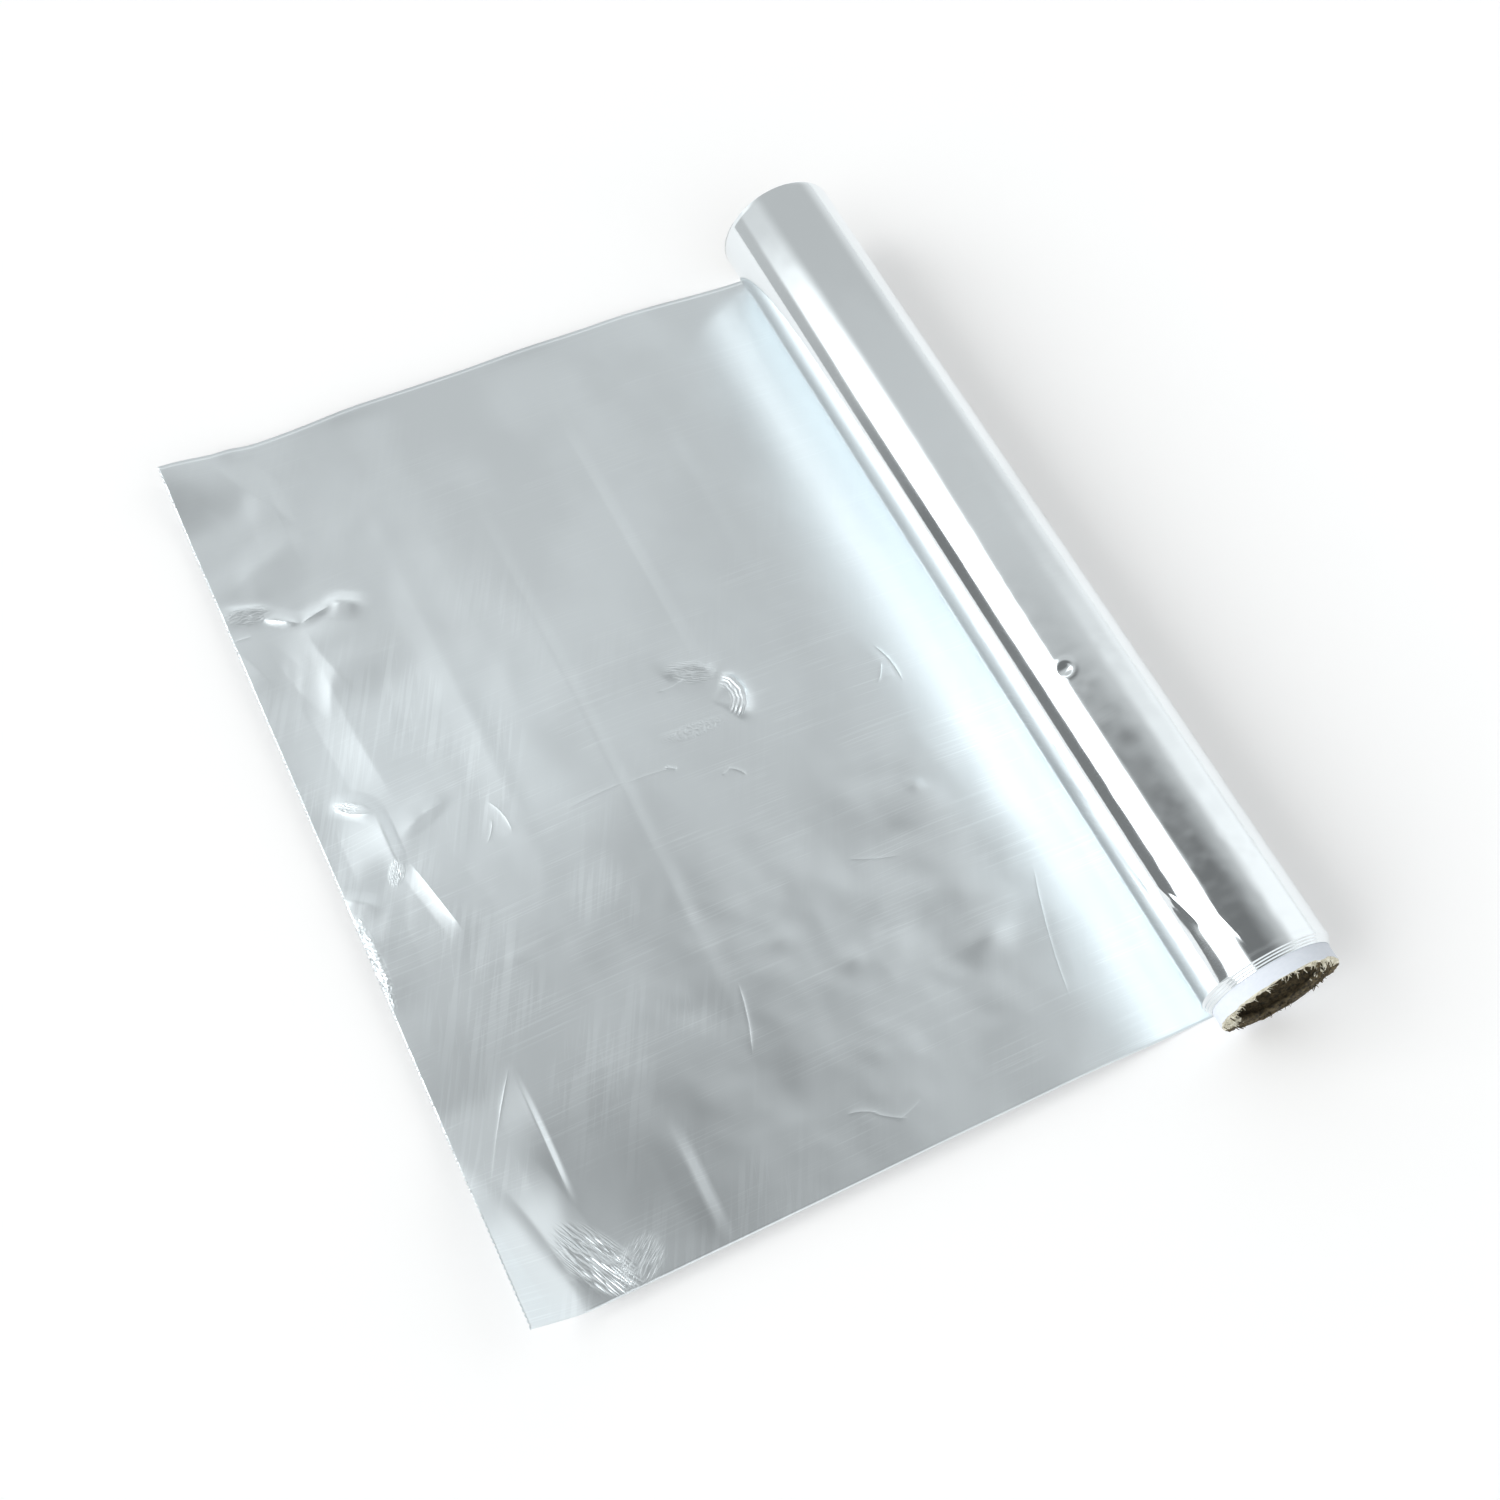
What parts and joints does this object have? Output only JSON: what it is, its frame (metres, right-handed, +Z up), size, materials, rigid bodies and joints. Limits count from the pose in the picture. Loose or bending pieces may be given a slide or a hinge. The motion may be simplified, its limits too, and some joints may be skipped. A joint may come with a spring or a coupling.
{
  "type": "aluminium foil roll",
  "caption": "Roll of household aluminium foil on a paperboard tube, lying on its side with a flat length pulled off it and a serrated free edge.",
  "frame": {"origin": "on the axis of the paperboard tube's bore, at the middle of the outermost turns' width", "axes": "+Y along the tube, away from the end where it stands out of the foil, +Z up, and the pulled-off length of foil lies flat towards -X at the roll's lowest line"},
  "size_m": [0.2393, 0.3074, 0.0397],
  "materials": {
    "foil": "polished",
    "paperboard": "matte"
  },
  "bodies": {
    "root": {"foil_strip": "foil", "core_tube": "paperboard"}
  },
  "joints": []
}
